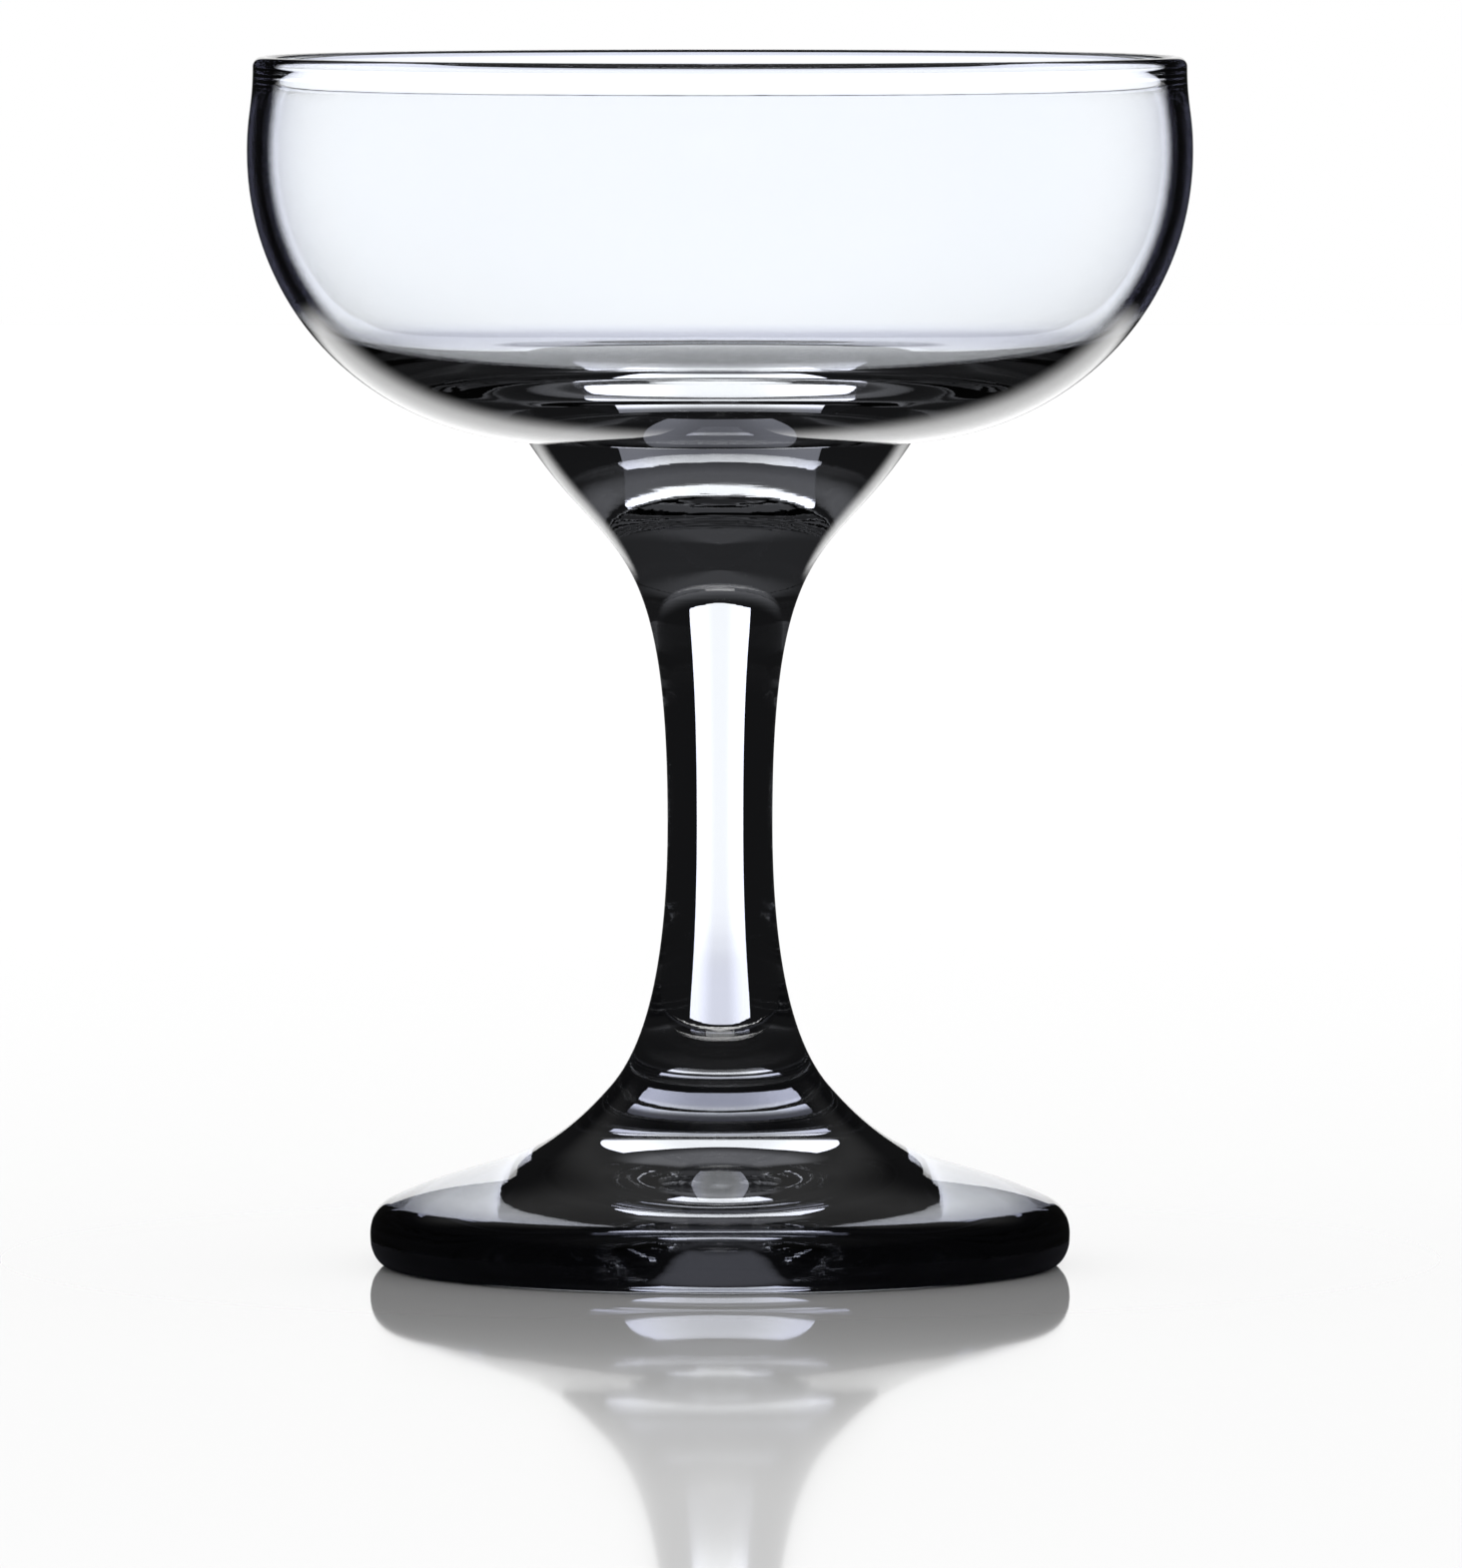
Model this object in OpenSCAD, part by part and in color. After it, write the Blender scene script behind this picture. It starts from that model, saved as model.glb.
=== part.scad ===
// Coupe glass: a wide shallow bowl, a drawn stem and a pressed foot, fused end to end.
// The origin is the middle of the foot's underside, on the table, and +Z is up the axis.

/* [Bowl] */
// Outside diameter at the widest ring
bowl_d = 94.6; // [86:0.2:106]
// Outside diameter at the lip
lip_d = 93.4; // [84:0.2:98]
// Height from the seam with the stem to the top of the lip
bowl_h = 38.5; // [34:0.5:48]
// Distance from the top of the lip down to the widest ring
widest_drop = 9.5; // [7:0.5:13]
// Thickness of the wall, the same from under the lip down to the well
wall_t = 1.5; // [1.2:0.1:2]
// Thickness of the fire-polished bead round the lip
lip_t = 2; // [1.7:0.1:2.4]
// Glass under the middle of the well, down to the seam
base_t = 7.2; // [6.2:0.1:8.4]

/* [Stem] */
// Length from the seam with the foot to the seam with the bowl
stem_h = 64.5; // [54:0.5:80]
// Diameter at the waist
waist_d = 10.5; // [8:0.1:14]
// Height of the waist above the seam with the foot
waist_rise = 26.5; // [20:0.5:32]
// Diameter of the flared head, where the bowl is fused on
head_d = 38.4; // [32:0.2:44]
// Diameter of the flared toe, where the foot is fused on
toe_d = 21.8; // [18:0.2:26]

/* [Foot] */
// Outside diameter
foot_d = 70.2; // [62:0.2:80]
// Height from the table to the seam with the stem
foot_h = 18; // [15:0.5:22]
// Height of the shoulder, where the top meets the rounded edge
shoulder_h = 6.4; // [5:0.1:8]
// Distance that the shoulder lies in from the edge
shoulder_in = 1.9; // [1.4:0.1:3]
// Height of the widest point of the edge
edge_rise = 3; // [2.4:0.1:3.6]
// Distance that the resting ring lies in from the edge
rest_in = 1.8; // [1.4:0.1:3.4]
// Width of the flat resting ring
rest_w = 1.5; // [1.2:0.1:4]
// Height of the hollow under the middle of the foot
hollow_h = 6.8; // [5:0.1:7.6]

/* [Finish] */
// Steps in each curved stretch of an outline
curve_steps = 28; // [12:1:40]

/* [Hidden] */
$fn = 180;
glass_tint = [0.82, 0.88, 0.94, 0.45];

// Radii, and the heights of the seams above the table
bowl_r = bowl_d / 2;
lip_r = lip_d / 2;
bead_r = lip_t / 2;
head_r = head_d / 2;
toe_r = toe_d / 2;
waist_r = waist_d / 2;
foot_r = foot_d / 2;
foot_seam_z = foot_h;
bowl_seam_z = foot_h + stem_h;
widest_z = bowl_h - widest_drop;

// Directions in which the curves leave the seams, in degrees from the horizontal
belly_angle = 4;
head_angle = 57;
toe_angle = 49;
shoulder_angle = 25;
hollow_angle = 32;

// Pulls of the curves, each a share of the run or the rise that its curve spans
belly_out_share = 0.57;
belly_up_share = 0.55;
cheek_share = 0.45;
head_up_share = 0.78;
head_in_share = 1.02;
toe_down_share = 0.48;
toe_in_share = 1.05;
rise_out_share = 0.53;
rise_in_share = 0.51;
edge_share = 0.55;
hollow_share = 0.22;

// Share of the belly's curve, from the seam up, at which the wall turns into the well
heel_share = 0.605;
// The well's pulls, each a share of the radius at which it starts
heel_in_share = 0.315;
well_out_share = 0.52;
// How sharply the lip's bead thins down to the wall
bead_power = 7;

// Curve and arc helpers
function toward(angle) = [cos(angle), sin(angle)];

function blend(a, b, c, d, t) =
    pow(1 - t, 3) * a + 3 * pow(1 - t, 2) * t * b + 3 * (1 - t) * pow(t, 2) * c + pow(t, 3) * d;

function curve(a, b, c, d) =
    [for (i = [0:curve_steps]) blend(a, b, c, d, i / curve_steps)];

// Unit direction of travel along a curve
function travel(a, b, c, d, t) =
    let (v = pow(1 - t, 2) * (b - a) + 2 * (1 - t) * t * (c - b) + pow(t, 2) * (d - c))
    v / norm(v);

function arc(centre, r, from, to) =
    [for (i = [0:curve_steps]) centre + r * toward(from + (to - from) * i / curve_steps)];

// A list of points without the repeats where two stretches meet
function joined(points) =
    [for (i = [0:len(points) - 1])
        if (i == 0 || norm(points[i] - points[max(i - 1, 0)]) > wall_t * 1e-4) points[i]];

// Outside curves of the bowl: the belly, from the seam to the widest ring, and the cheek above
function belly() =
    let (
        seam = [head_r, 0],
        widest = [bowl_r, widest_z],
        out = belly_out_share * (bowl_r - head_r)
    )
    [seam, seam + out * toward(belly_angle), widest - [0, belly_up_share * widest_z], widest];

function cheek() =
    let (
        widest = [bowl_r, widest_z],
        lip = [lip_r, bowl_h - bead_r],
        up = cheek_share * (lip[1] - widest[1])
    )
    [widest, widest + [0, up], lip - [0, up], lip];

function drawn(c) = curve(c[0], c[1], c[2], c[3]);

// A point inside the belly's wall, square in from the outside
function in_wall(t) =
    let (c = belly(), v = travel(c[0], c[1], c[2], c[3], t))
    blend(c[0], c[1], c[2], c[3], t) + wall_t * [-v[1], v[0]];

// Over the bead, down the inside of the wall and across the well to the axis
function bowl_inside() =
    let (
        outside = drawn(cheek()),
        bead = [lip_r - bead_r, bowl_h - bead_r],
        heel = in_wall(heel_share),
        c = belly(),
        heel_in = -heel_in_share * heel[0] * travel(c[0], c[1], c[2], c[3], heel_share),
        well = [0, base_t]
    )
    concat(
        arc(bead, bead_r, 0, 180),
        [for (i = [curve_steps:-1:0])
            outside[i] - [wall_t + (lip_t - wall_t) * pow(i / curve_steps, bead_power), 0]],
        [for (i = [0:curve_steps]) in_wall(1 - (1 - heel_share) * i / curve_steps)],
        curve(heel, heel + heel_in, well + [well_out_share * heel[0], 0], well)
    );

// The stem, from the middle of the toe's face out and up to the middle of the head's
function stem_side() =
    let (
        toe = [toe_r, 0],
        waist = [waist_r, waist_rise],
        head = [head_r, stem_h],
        toe_pull = toe_in_share * (toe_r - waist_r) * [-cos(toe_angle), sin(toe_angle)],
        waist_down = toe_down_share * waist_rise,
        waist_up = head_up_share * (stem_h - waist_rise),
        head_pull = head_in_share * (head_r - waist_r) * toward(head_angle)
    )
    concat(
        curve(toe, toe + toe_pull, waist - [0, waist_down], waist),
        curve(waist, waist + [0, waist_up], head - head_pull, head)
    );

// The top of the foot, from the seam down to the shoulder and round the edge to the table
function foot_top() =
    let (
        seam = [toe_r, foot_h],
        shoulder = [foot_r - shoulder_in, shoulder_h],
        edge = [foot_r, edge_rise],
        rest = [foot_r - rest_in, 0],
        run = shoulder[0] - seam[0],
        seam_pull = rise_out_share * run * [cos(toe_angle), -sin(toe_angle)],
        shoulder_dir = [cos(shoulder_angle), -sin(shoulder_angle)],
        shoulder_pull = rise_in_share * run * shoulder_dir,
        edge_pull = edge_share * shoulder_in * shoulder_dir
    )
    concat(
        curve(seam, seam + seam_pull, shoulder - shoulder_pull, shoulder),
        curve(shoulder, shoulder + edge_pull, edge + [0, edge_share * (shoulder_h - edge_rise)], edge),
        curve(edge, edge - [0, edge_share * edge_rise], rest + [edge_share * rest_in, 0], rest)
    );

// The hollow under the foot, from the resting ring in to the axis
function foot_hollow() =
    let (
        ring = [foot_r - rest_in - rest_w, 0],
        middle = [0, hollow_h],
        pull = hollow_share * ring[0]
    )
    curve(ring, ring + pull * [-cos(hollow_angle), sin(hollow_angle)], middle + [pull, 0], middle);

// Revolves an outline that starts and ends on the axis
module turned(outline) {
    rotate_extrude()
        polygon(joined(outline));
}

module bowl() {
    color(glass_tint)
        translate([0, 0, bowl_seam_z])
            turned(concat([[0, 0]], drawn(belly()), drawn(cheek()), bowl_inside()));
}

module stem() {
    color(glass_tint)
        translate([0, 0, foot_seam_z])
            turned(concat([[0, 0]], stem_side(), [[0, stem_h]]));
}

module foot() {
    color(glass_tint)
        turned(concat([[0, foot_h]], foot_top(), foot_hollow()));
}

bowl();
stem();
foot();
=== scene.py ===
"""Coupe glass: a wide shallow bowl, a drawn stem and a pressed foot, clear glass fused together."""

import math

import bmesh
import bpy
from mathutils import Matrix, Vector


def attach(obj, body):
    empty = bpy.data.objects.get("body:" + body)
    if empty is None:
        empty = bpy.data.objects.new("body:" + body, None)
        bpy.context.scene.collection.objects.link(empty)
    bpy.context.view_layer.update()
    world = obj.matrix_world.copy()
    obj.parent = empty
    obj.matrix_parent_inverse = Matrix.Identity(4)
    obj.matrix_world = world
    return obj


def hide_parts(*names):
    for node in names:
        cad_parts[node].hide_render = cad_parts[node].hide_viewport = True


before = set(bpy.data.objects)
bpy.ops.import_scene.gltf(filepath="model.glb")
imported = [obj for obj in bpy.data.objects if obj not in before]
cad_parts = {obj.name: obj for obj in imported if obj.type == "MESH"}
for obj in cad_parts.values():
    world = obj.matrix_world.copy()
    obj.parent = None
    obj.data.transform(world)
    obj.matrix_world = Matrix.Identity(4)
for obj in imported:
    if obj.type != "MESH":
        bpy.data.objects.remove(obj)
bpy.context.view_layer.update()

MM = 0.001
DEGREES = 180 / math.pi
WHITE = (1, 1, 1, 1)

# Sizes of the glass, in millimetres, as in the part's source
BOWL_D = 94.6
LIP_D = 93.4
BOWL_H = 38.5
WIDEST_DROP = 9.5
WALL_T = 1.5
LIP_T = 2.0
BASE_T = 7.2
STEM_H = 64.5
WAIST_D = 10.5
WAIST_RISE = 26.5
HEAD_D = 38.4
TOE_D = 21.8
FOOT_D = 70.2
FOOT_H = 18.0
SHOULDER_H = 6.4
SHOULDER_IN = 1.9
EDGE_RISE = 3.0
REST_IN = 1.8
REST_W = 1.5
HOLLOW_H = 6.8

# Directions in which the curves leave the seams, in degrees from the horizontal
BELLY_ANGLE = 4
HEAD_ANGLE = 57
TOE_ANGLE = 49
SHOULDER_ANGLE = 25
HOLLOW_ANGLE = 32

# Pulls of the curves, each a share of the run or the rise that its curve spans
BELLY_OUT_SHARE = 0.57
BELLY_UP_SHARE = 0.55
CHEEK_SHARE = 0.45
HEAD_UP_SHARE = 0.78
HEAD_IN_SHARE = 1.02
TOE_DOWN_SHARE = 0.48
TOE_IN_SHARE = 1.05
RISE_OUT_SHARE = 0.53
RISE_IN_SHARE = 0.51
EDGE_SHARE = 0.55
HOLLOW_SHARE = 0.22

# Where the wall turns into the well, the well's pulls, and how sharply the lip's bead thins down
HEEL_SHARE = 0.605
HEEL_IN_SHARE = 0.315
WELL_OUT_SHARE = 0.52
BEAD_POWER = 7

# Steps in each curved stretch of an outline, and round a quarter of the axis
CURVE_STEPS = 48
QUARTER_STEPS = 64
# Points of an outline this near are one, and vertices this near are welded, in metres
SAME_POINT = 1e-6
WELD = 1e-7

BOWL_R, LIP_R, BEAD_R = BOWL_D / 2, LIP_D / 2, LIP_T / 2
HEAD_R, TOE_R, WAIST_R, FOOT_R = HEAD_D / 2, TOE_D / 2, WAIST_D / 2, FOOT_D / 2
BOWL_SEAM_Z = FOOT_H + STEM_H
WIDEST_Z = BOWL_H - WIDEST_DROP

# Material slots of a piece, after slot 0, which is the glass itself
SEAM, OUTSIDE = 1, 2

# Looks of the glass. A ramp runs from its first number to its second, with the values that follow
GLASS_IOR = 1.52
RING_GRAIN, RING_DETAIL = (60, 60, 900), 3
RIPPLE_GRAIN, RIPPLE_DETAIL, RIPPLE_SHARE = (180, 180, 260), 1, 0.5
TINT_GRAIN, TINT_SHIFT = (70, 70, 40), (0.985, 0.992, 1)
SMEAR_GRAIN, SMEAR = (300, 300, 300), (0.45, 0.75, 0.0, 0.012)
# Painted shade: a near black band on the bowl's outside where its wall is seen edge on, high on the
# bowl, standing in for the dark that refraction shows there
RIM_FACING, RIM_HEIGHT = (0.625, 0.71), (0.089, 0.096)
RIM_PAINTED_SHADE = (0.002, 0.002, 0.004, 1)
# Painted shade: the foot greyed in two steps toward its edge, standing in for the dark seen through
# it
SKIRT_INNER, SKIRT_OUTER = (0.018, 0.026, 0.0, 0.33), (0.030, 0.0335, 0.0, 0.6)
SKIRT_PAINTED_SHADE = (0.12, 0.125, 0.16, 1)
# Depth of the rings in metres, and how much light gets through. The stem and foot are set darker
# than the bowl, though all three are one glass: partly for their thicker glass, partly as painted
# shade
BOWL_RINGS, BOWL_CLEAR = 0.000002, 0.99
STEM_RINGS, STEM_CLEAR = 0.000009, 0.89
FOOT_RINGS, FOOT_CLEAR = 0.000006, 0.84

# Camera, and the width that it sees at the aim, in metres
DISTANCE = 1.68
EYE_Z = 0.147
AIM = Vector((0.0011, 0, 0.0482))
SEEN_WIDTH = 0.157
SENSOR_MM = 36

# Floor: radii in metres, and ramps by the distance from the axis
FLOOR_R = 3.0
FLOOR_Z = -0.0001
FLOOR_COLOUR = (0.975, 0.975, 0.975, 1)
FLOOR_IOR = 1.06
FLOOR_ROUGHNESS = (0.04, 0.12, 0.05, 0.09)
COAT_WEIGHT = (0.04, 0.24, 1.0, 0.25)
COAT_IOR = 1.7
COAT_ROUGHNESS = 0.04
SHADE_COLOUR = (0.03, 0.03, 0.035, 1)
SHADE_REACH = (0.042, 0.05, 1.0, 0.0)

# Room: ramps by the angle above the horizon and by the angles from straight behind the glass
ROOM_R = 2.5
ROOM_SEGMENTS = 64
ROOM_COLOUR = (0.9, 0.92, 1, 1)
ROOM_DARK = 0.008
WINDOW_SIDE, WINDOW_BOTTOM, WINDOW_TOP = 8, -2, 30
LOW_GLOW, LOW_GLOW_TOP, LOW_GLOW_SLOPE = (27, 43, 1.6, 0.0), (0, 4), 0.5
OVERHEAD_RISE, OVERHEAD_GLOW = (24, 40), 0.014
AHEAD_AROUND, AHEAD_RISE = (30, 60, 0.13, 0.0), (56, 66, 1.0, 0.0)
BACK_AROUND = (90, 140, 0.0, 0.035)
NEARLY_ZERO = 0.001

# Card: sizes in metres from the glass's middle, and ramps by the distance down and outward
GLASS_MIDDLE_Z = 0.0605
CARD_BACK = 0.800
CARD_HALF = 0.264
CARD_TOP = 0.400
CARD_BOTTOM = -0.444
CARD_COLOUR = (0.93, 0.96, 1, 1)
CARD_EDGE_COLOUR = (0.83, 0.86, 1, 1)
EDGE_DOWN, EDGE_OUTWARD = (0.03, 0.25), (0.1, 0.27)
LEVEL_OUTWARD, LEVEL_DOWN = (0.04, 0.22, 1.22, 1.8), (0.1, 0.2, 1.0, 0.8)
DIM_DOWN, DIM_SHARE = (0.03, 0.12), 0.85


def toward(angle, length=1.0):
    return Vector((math.cos(math.radians(angle)), math.sin(math.radians(angle)))) * length


def point(r, z):
    return Vector((r, z))


def on_curve(ends, t):
    a, b, c, d = ends
    return (1 - t) ** 3 * a + 3 * (1 - t) ** 2 * t * b + 3 * (1 - t) * t * t * c + t ** 3 * d


def along_curve(ends, t):
    a, b, c, d = ends
    return ((1 - t) ** 2 * (b - a) + 2 * (1 - t) * t * (c - b) + t * t * (d - c)).normalized()


def curve(*ends):
    return [on_curve(ends, i / CURVE_STEPS) for i in range(CURVE_STEPS + 1)]


def arc(centre, r, start, end):
    turn = end - start
    return [centre + toward(start + turn * i / CURVE_STEPS, r) for i in range(CURVE_STEPS + 1)]


def bowl_outline():
    seam = point(HEAD_R, 0)
    widest = point(BOWL_R, WIDEST_Z)
    lip = point(LIP_R, BOWL_H - BEAD_R)
    up = point(0, CHEEK_SHARE * (lip.y - widest.y))
    belly = (
        seam,
        seam + toward(BELLY_ANGLE, BELLY_OUT_SHARE * (BOWL_R - HEAD_R)),
        widest - point(0, BELLY_UP_SHARE * WIDEST_Z),
        widest,
    )
    cheek = curve(widest, widest + up, lip - up, lip)

    def in_wall(t):
        way = along_curve(belly, t)
        return on_curve(belly, t) + WALL_T * point(-way.y, way.x)

    # Over the bead, down the inside of the wall and across the well
    inside = arc(point(LIP_R - BEAD_R, lip.y), BEAD_R, 0, 180)
    for i in range(CURVE_STEPS, -1, -1):
        wall = WALL_T + (LIP_T - WALL_T) * (i / CURVE_STEPS) ** BEAD_POWER
        inside.append(cheek[i] - point(wall, 0))
    inside += [in_wall(1 - (1 - HEEL_SHARE) * i / CURVE_STEPS) for i in range(CURVE_STEPS + 1)]
    heel = in_wall(HEEL_SHARE)
    well = point(0, BASE_T)
    inside += curve(
        heel,
        heel - HEEL_IN_SHARE * heel.x * along_curve(belly, HEEL_SHARE),
        well + point(WELL_OUT_SHARE * heel.x, 0),
        well,
    )
    return [p + point(0, BOWL_SEAM_Z) for p in [point(0, 0)] + curve(*belly) + cheek + inside]


def stem_outline():
    toe = point(TOE_R, 0)
    waist = point(WAIST_R, WAIST_RISE)
    head = point(HEAD_R, STEM_H)
    side = curve(
        toe,
        toe + toward(180 - TOE_ANGLE, TOE_IN_SHARE * (TOE_R - WAIST_R)),
        waist - point(0, TOE_DOWN_SHARE * WAIST_RISE),
        waist,
    ) + curve(
        waist,
        waist + point(0, HEAD_UP_SHARE * (STEM_H - WAIST_RISE)),
        head - toward(HEAD_ANGLE, HEAD_IN_SHARE * (HEAD_R - WAIST_R)),
        head,
    )
    return [p + point(0, FOOT_H) for p in [point(0, 0)] + side + [point(0, STEM_H)]]


def foot_outline():
    seam = point(TOE_R, FOOT_H)
    shoulder = point(FOOT_R - SHOULDER_IN, SHOULDER_H)
    edge = point(FOOT_R, EDGE_RISE)
    rest = point(FOOT_R - REST_IN, 0)
    run = shoulder.x - seam.x
    top = curve(
        seam,
        seam + toward(-TOE_ANGLE, RISE_OUT_SHARE * run),
        shoulder - toward(-SHOULDER_ANGLE, RISE_IN_SHARE * run),
        shoulder,
    ) + curve(
        shoulder,
        shoulder + toward(-SHOULDER_ANGLE, EDGE_SHARE * SHOULDER_IN),
        edge + point(0, EDGE_SHARE * (SHOULDER_H - EDGE_RISE)),
        edge,
    ) + curve(
        edge,
        edge - point(0, EDGE_SHARE * EDGE_RISE),
        rest + point(EDGE_SHARE * REST_IN, 0),
        rest,
    )
    ring = point(FOOT_R - REST_IN - REST_W, 0)
    middle = point(0, HOLLOW_H)
    pull = HOLLOW_SHARE * ring.x
    hollow = curve(ring, ring + toward(180 - HOLLOW_ANGLE, pull), middle + point(pull, 0), middle)
    return [point(0, FOOT_H)] + top + hollow


def turned(name, outline, seams, has_outside):
    """Spins an outline round the axis.

    Faces that lie flat at a seam's height get the slot of the seam. Where the piece has an outside
    of its own look, the faces that turn away from the axis get that slot.
    """
    bm = bmesh.new()
    chain = []
    for p in outline:
        spot = Vector((p.x, 0, p.y)) * MM
        if not chain or (chain[-1].co - spot).length > SAME_POINT:
            chain.append(bm.verts.new(spot))
    edges = [bm.edges.new(pair) for pair in zip(chain, chain[1:])]
    bmesh.ops.spin(
        bm,
        geom=chain + edges,
        cent=(0, 0, 0),
        axis=(0, 0, 1),
        angle=math.pi / 2,
        steps=QUARTER_STEPS,
    )
    for axis in "XY":
        geom = bm.verts[:] + bm.edges[:] + bm.faces[:]
        bmesh.ops.mirror(bm, geom=geom, axis=axis, merge_dist=WELD)
    bmesh.ops.remove_doubles(bm, verts=bm.verts, dist=WELD)
    bmesh.ops.recalc_face_normals(bm, faces=bm.faces)
    for face in bm.faces:
        face.smooth = True
        height = {round(v.co.z / MM, 3) for v in face.verts}
        if len(height) == 1 and height <= seams:
            face.material_index = SEAM
        elif has_outside and face.normal.xy.dot(face.calc_center_median().xy) > 0:
            face.material_index = OUTSIDE
    for edge in bm.edges:
        if len({f.material_index == SEAM for f in edge.link_faces}) == 2:
            edge.smooth = False
    mesh = bpy.data.meshes.new(name)
    bm.to_mesh(mesh)
    bm.free()
    piece = bpy.data.objects.new(name, mesh)
    bpy.context.scene.collection.objects.link(piece)
    return piece


class Number:
    """A socket's value; an expression on values adds its Math nodes."""

    def __init__(self, tree, socket):
        self.tree, self.socket = tree, socket

    def math(self, operation, *others):
        inputs = dict(enumerate((self, *others)))
        return self.tree.node("ShaderNodeMath", {"operation": operation}, inputs)

    def __add__(self, other):
        return self.math("ADD", other)

    def __mul__(self, other):
        return self.math("MULTIPLY", other)

    def __sub__(self, other):
        return self.math("SUBTRACT", other)

    def __rsub__(self, other):
        return self.tree.node("ShaderNodeMath", {"operation": "SUBTRACT"}, {0: other, 1: self})

    def __truediv__(self, other):
        return self.math("DIVIDE", other)

    def above(self, limit):
        return self.math("GREATER_THAN", limit)

    def below(self, limit):
        return self.math("LESS_THAN", limit)

    def ramp(self, low, high, start=0.0, end=1.0):
        inputs = {0: self, 1: low, 2: high, 3: start, 4: end}
        return self.tree.node("ShaderNodeMapRange", {"interpolation_type": "SMOOTHSTEP"}, inputs)

    __radd__, __rmul__ = __add__, __mul__


class Tree:
    """A node tree of a material or of the world."""

    def __init__(self, owner):
        owner.use_nodes = True
        self.tree = owner.node_tree
        self.tree.nodes.clear()

    def node(self, kind, settings=None, inputs=None, output=0):
        """Adds a node and gives back one of its outputs, or the node itself where it has none."""
        made = self.tree.nodes.new(kind)
        for name, value in (settings or {}).items():
            setattr(made, name, value)
        for name, value in (inputs or {}).items():
            if isinstance(value, Number):
                self.tree.links.new(value.socket, made.inputs[name])
            else:
                made.inputs[name].default_value = value
        return Number(self, made.outputs[output]) if len(made.outputs) else made

    def place(self):
        return self.node("ShaderNodeTexCoord", {}, {}, "Object")

    def xyz(self):
        split = self.node("ShaderNodeSeparateXYZ", {}, {"Vector": self.place()}).socket.node
        return [Number(self, socket) for socket in split.outputs]

    def radius(self):
        x, y, _ = self.xyz()
        return (x * x + y * y).math("SQRT")

    def noise(self, grain, detail=2.0):
        place = self.node(
            "ShaderNodeVectorMath", {"operation": "MULTIPLY"}, {0: self.place(), 1: grain}
        )
        inputs = {"Vector": place, "Scale": 1.0, "Detail": detail}
        return self.node("ShaderNodeTexNoise", {}, inputs, "Fac")

    def mixed(self, factor, a, b):
        return self.node("ShaderNodeMix", {"data_type": "RGBA"}, {0: factor, 6: a, 7: b}, 2)

    def light_path(self, output):
        return self.node("ShaderNodeLightPath", {}, {}, output)

    def see_through(self):
        return self.node("ShaderNodeBsdfTransparent", {}, {"Color": WHITE})

    def emission(self, colour, strength):
        return self.node("ShaderNodeEmission", {}, {"Color": colour, "Strength": strength})

    def either(self, factor, a, b):
        return self.node("ShaderNodeMixShader", {}, {0: factor, 1: a, 2: b})

    def surface(self, shader):
        self.node("ShaderNodeOutputMaterial", {}, {"Surface": shader})


def glass(name, ring_depth, clear, painted_rim_shade=None, painted_skirt_shade=None):
    """Clear glass with the faint rings that pressing and fire polishing leave.

    The painted rim shade darkens the glass to near black where a thin wall is seen edge on, and the
    painted skirt shade greys it toward a foot's edge; both stand in for shade.
    """
    material = bpy.data.materials.new(name)
    t = Tree(material)
    ripples = RIPPLE_SHARE * t.noise(RIPPLE_GRAIN, RIPPLE_DETAIL)
    rings = t.noise(RING_GRAIN, RING_DETAIL) + ripples
    bump = t.node(
        "ShaderNodeBump", {}, {"Strength": 1.0, "Distance": ring_depth, "Height": rings}
    )
    shifted = tuple(clear * share for share in TINT_SHIFT) + (1,)
    body = t.mixed(t.noise(TINT_GRAIN), (clear, clear, clear, 1), shifted)
    # Painted shade: near black where the bowl's outside is seen edge on, above its lower part
    if painted_rim_shade:
        facing = t.node("ShaderNodeLayerWeight", {}, {"Blend": 0.5}, "Facing")
        height = t.xyz()[2]
        body = t.mixed(facing.ramp(*RIM_FACING) * height.ramp(*RIM_HEIGHT), body, painted_rim_shade)
    # Painted shade: grey toward the foot's edge, by the distance from the axis
    if painted_skirt_shade:
        out = t.radius()
        body = t.mixed(out.ramp(*SKIRT_INNER) + out.ramp(*SKIRT_OUTER), body, painted_skirt_shade)
    shader = t.node(
        "ShaderNodeBsdfPrincipled",
        {},
        {
            "Base Color": body,
            "Roughness": t.noise(SMEAR_GRAIN).ramp(*SMEAR),
            "IOR": GLASS_IOR,
            "Transmission Weight": 1.0,
            "Normal": bump,
        },
    )
    t.surface(shader)
    return material


def fused_face():
    """The seam's two faces touch and are fused, so no light turns there."""
    material = bpy.data.materials.new("fused_seam")
    t = Tree(material)
    t.surface(t.see_through())
    return material


fused_seam = fused_face()
for node, outline, material in (
    ("bowl", bowl_outline(), glass("bowl_glass", BOWL_RINGS, BOWL_CLEAR)),
    ("stem", stem_outline(), glass("stem_glass", STEM_RINGS, STEM_CLEAR)),
    ("foot", foot_outline(), glass("foot_glass", FOOT_RINGS, FOOT_CLEAR, painted_skirt_shade=SKIRT_PAINTED_SHADE)),
):
    is_bowl = node == "bowl"
    piece = turned(f"{node}_glass", outline, {BOWL_SEAM_Z, FOOT_H}, is_bowl)
    piece.data.materials.append(material)
    piece.data.materials.append(fused_seam)
    if is_bowl:
        # The bowl's outside carries the painted rim shade
        outside = glass("bowl_outside_glass", BOWL_RINGS, BOWL_CLEAR, painted_rim_shade=RIM_PAINTED_SHADE)
        piece.data.materials.append(outside)
    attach(piece, "root")
    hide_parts(node)

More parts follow.
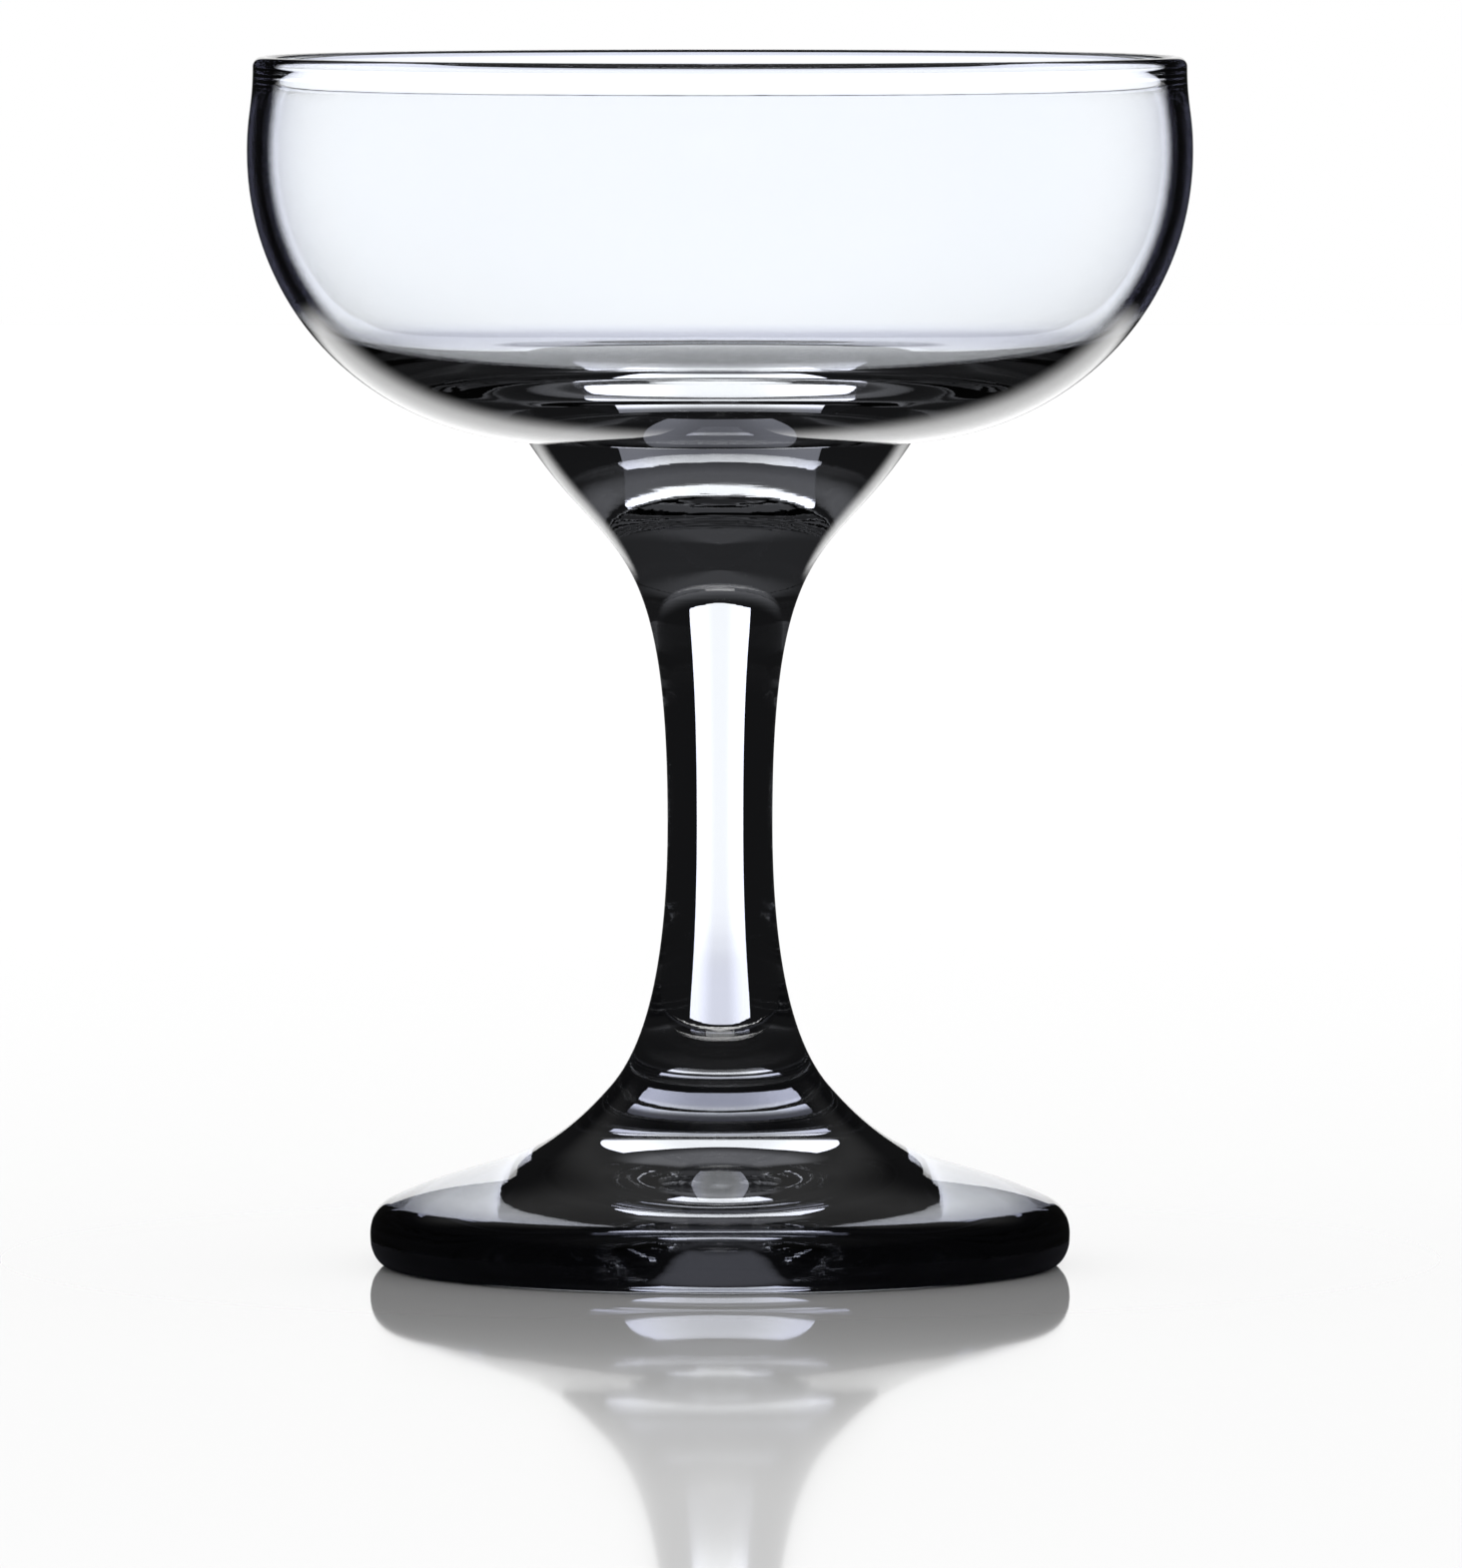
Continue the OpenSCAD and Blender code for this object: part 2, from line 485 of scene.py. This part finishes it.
# Camera
camera = bpy.data.objects.new("camera", bpy.data.cameras.new("camera"))
bpy.context.scene.collection.objects.link(camera)
camera.location = (0, -DISTANCE, EYE_Z)
camera.rotation_mode = "QUATERNION"
camera.rotation_quaternion = (AIM - camera.location).to_track_quat("-Z", "Y")
camera.data.sensor_width = SENSOR_MM
camera.data.lens = SENSOR_MM * (AIM - camera.location).length / SEEN_WIDTH
bpy.context.scene.camera = camera

# World
world = bpy.data.worlds.new("studio")
bpy.context.scene.world = world
t = Tree(world)
shader = t.node("ShaderNodeBackground", {}, {"Color": WHITE, "Strength": 1.0})
t.node("ShaderNodeOutputWorld", {}, {"Surface": shader})


# Studio: a pale glossy floor, a bright card behind the glass and a dark room around it
def stage_mesh(name, bm, material, parent=None):
    mesh = bpy.data.meshes.new(name)
    bm.to_mesh(mesh)
    bm.free()
    mesh.materials.append(material)
    obj = bpy.data.objects.new(name, mesh)
    bpy.context.scene.collection.objects.link(obj)
    obj.parent = parent
    return obj


def sheet(x0, x1, z0, z1, y, flat=False):
    """A rectangle, upright at the depth y or flat at the height y."""
    bm = bmesh.new()
    bmesh.ops.create_grid(bm, x_segments=1, y_segments=1, size=0.5)
    for v in bm.verts:
        x, z = (x1 if v.co.x > 0 else x0), (z1 if v.co.y > 0 else z0)
        v.co = (x, z, y) if flat else (x, y, z)
    return bm


def holder(name, kind, settings):
    """An empty that turns with the camera, so that the studio stays behind the glass."""
    obj = bpy.data.objects.new(name, None)
    bpy.context.scene.collection.objects.link(obj)
    track = obj.constraints.new(kind)
    track.target = camera
    for key, value in settings.items():
        setattr(track, key, value)
    return obj


def pale_floor():
    """A floor that shows the glass's shadow and reflection.

    Rays that come out of the glass or off it go through the floor to the studio beyond, save close
    under the foot's edge, where the floor is in the foot's own shade.
    """
    material = bpy.data.materials.new("pale_floor")
    t = Tree(material)
    away = t.radius()
    pale = t.node(
        "ShaderNodeBsdfPrincipled",
        {},
        {
            "Base Color": FLOOR_COLOUR,
            "Roughness": away.ramp(*FLOOR_ROUGHNESS),
            "IOR": FLOOR_IOR,
            "Coat Weight": away.ramp(*COAT_WEIGHT),
            "Coat IOR": COAT_IOR,
            "Coat Roughness": COAT_ROUGHNESS,
        },
    )
    off_glass = t.light_path("Is Reflection Ray")
    passing = t.light_path("Is Transmission Ray").math("MAXIMUM", off_glass)
    shade = t.node("ShaderNodeBsdfDiffuse", {}, {"Color": SHADE_COLOUR})
    beyond = t.either(off_glass * away.ramp(*SHADE_REACH), t.see_through(), shade)
    t.surface(t.either(passing, pale, beyond))
    return material


def room_light():
    """A near black room with a faint glow overhead.

    Rays off the glass also see a bright window straight behind it and a glow low under the window.
    """
    material = bpy.data.materials.new("room_light")
    t = Tree(material)
    x, y, z = t.xyz()
    across = (x / y.math("MAXIMUM", NEARLY_ZERO)).math("ABSOLUTE")
    side = across.math("ARCTANGENT") * DEGREES
    rise = (z / t.radius()).math("ARCTANGENT") * DEGREES
    around = x.math("ABSOLUTE").math("ARCTAN2", y) * DEGREES
    window = side.below(WINDOW_SIDE) * rise.above(WINDOW_BOTTOM) * rise.below(WINDOW_TOP)
    under = (-1 * rise - LOW_GLOW_SLOPE * side).ramp(*LOW_GLOW_TOP)
    low = (side * side + rise * rise).math("SQRT").ramp(*LOW_GLOW) * under * y.above(0)
    ahead = around.ramp(*AHEAD_AROUND) * rise.ramp(*AHEAD_RISE)
    overhead = rise.ramp(*OVERHEAD_RISE) * (OVERHEAD_GLOW + ahead + around.ramp(*BACK_AROUND))
    off_glass = t.light_path("Is Reflection Ray")
    strength = window.math("MAXIMUM", low) * off_glass + overhead + ROOM_DARK
    t.surface(t.emission(t.mixed(off_glass, ROOM_COLOUR, WHITE), strength))
    return material


def card_light():
    """A bright card that only rays out of the glass see.

    Its lower part is dim for light that turned inside the glass.
    """
    material = bpy.data.materials.new("card_light")
    t = Tree(material)
    x, _, z = t.xyz()
    outward = x.math("ABSOLUTE")
    down = -1 * z
    fade = down.ramp(*EDGE_DOWN).math("MAXIMUM", outward.ramp(*EDGE_OUTWARD))
    turned_inside = t.light_path("Glossy Depth").above(0.5)
    dim = 1.0 - DIM_SHARE * turned_inside * down.ramp(*DIM_DOWN)
    level = outward.ramp(*LEVEL_OUTWARD) * down.ramp(*LEVEL_DOWN) * dim
    lit = t.emission(t.mixed(fade, CARD_COLOUR, CARD_EDGE_COLOUR), level)
    t.surface(t.either(t.light_path("Is Transmission Ray"), t.see_through(), lit))
    return material


floor = sheet(-FLOOR_R, FLOOR_R, -FLOOR_R, FLOOR_R, FLOOR_Z, flat=True)
stage_mesh("floor", floor, pale_floor())

facing_camera = {"track_axis": "TRACK_NEGATIVE_Y"}
turntable = holder("turntable", "LOCKED_TRACK", {**facing_camera, "lock_axis": "LOCK_Z"})
stand = holder("card_stand", "TRACK_TO", {**facing_camera, "up_axis": "UP_Z"})
stand.location = (0, 0, GLASS_MIDDLE_Z)

sphere = bmesh.new()
bmesh.ops.create_uvsphere(
    sphere, u_segments=ROOM_SEGMENTS, v_segments=ROOM_SEGMENTS // 2, radius=ROOM_R
)
room = stage_mesh("studio_room", sphere, room_light(), turntable)
card_sheet = sheet(-CARD_HALF, CARD_HALF, CARD_BOTTOM, CARD_TOP, CARD_BACK)
card = stage_mesh("card", card_sheet, card_light(), stand)

for obj in (room, card):
    obj.visible_camera = False
    obj.visible_diffuse = False
    obj.visible_shadow = False
    obj.visible_volume_scatter = False
    obj.data.materials[0].cycles.emission_sampling = "NONE"

scene = bpy.context.scene
scene.view_settings.view_transform = "Standard"
scene.cycles.max_bounces = 24
scene.cycles.transmission_bounces = 24
scene.cycles.glossy_bounces = 12
scene.cycles.transparent_max_bounces = 48
